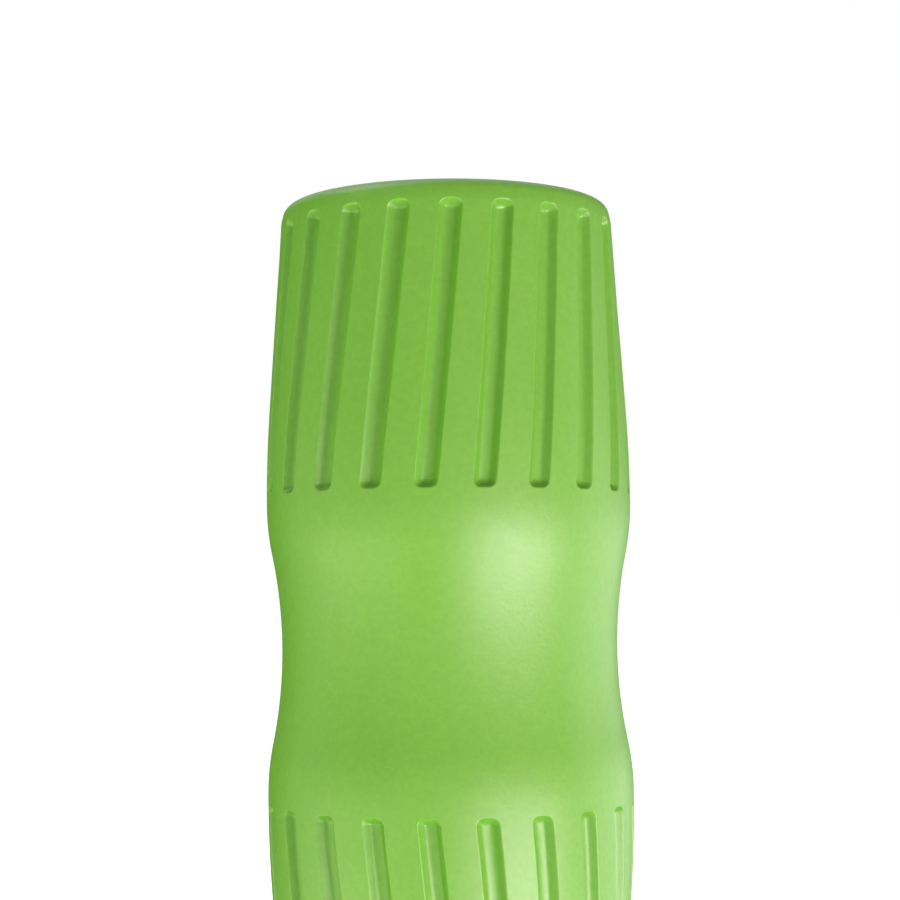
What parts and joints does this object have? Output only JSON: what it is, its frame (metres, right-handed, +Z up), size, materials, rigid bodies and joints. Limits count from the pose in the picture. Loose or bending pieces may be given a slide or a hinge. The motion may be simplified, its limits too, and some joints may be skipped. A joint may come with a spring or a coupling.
{
  "type": "post driver",
  "caption": "Hand-held driver for thin rod posts: a heavy steel tube with a blind guide bore and strike face, inside a waisted, fluted green grip with a closed top.",
  "frame": {"origin": "centre of the mouth face, on which the driver stands", "axes": "+Z up the driver's axis to its closed top, +X to the right of the front"},
  "size_m": [0.066, 0.066, 0.197],
  "materials": {
    "green_grip": "satin moulded thermoplastic rubber with a faint leathery grain",
    "grey_nylon": "moulded glass-filled nylon",
    "tube_steel": "turned steel, lightly oiled",
    "weld_steel": "rippled weld bead",
    "hard_steel": "hardened and blackened steel",
    "zinc_steel": "zinc plated, slightly dull",
    "black_rubber": "moulded rubber",
    "white_nylon": "turned natural nylon"
  },
  "bodies": {
    "root": {"grip_cover": "green_grip", "grip_liner": "grey_nylon", "driver_tube": "tube_steel", "head_plug": "tube_steel", "head_weld": "weld_steel", "strike_anvil": "hard_steel", "anvil_pin": "zinc_steel", "shock_pad": "black_rubber", "grip_keys": "hard_steel", "seal_ring": "black_rubber", "buffer_ring": "black_rubber", "stop_washer": "zinc_steel", "snap_ring": "hard_steel", "nose_collar": "zinc_steel", "upper_bush": "white_nylon", "lower_bush": "white_nylon", "bush_screws": "hard_steel"}
  },
  "joints": []
}
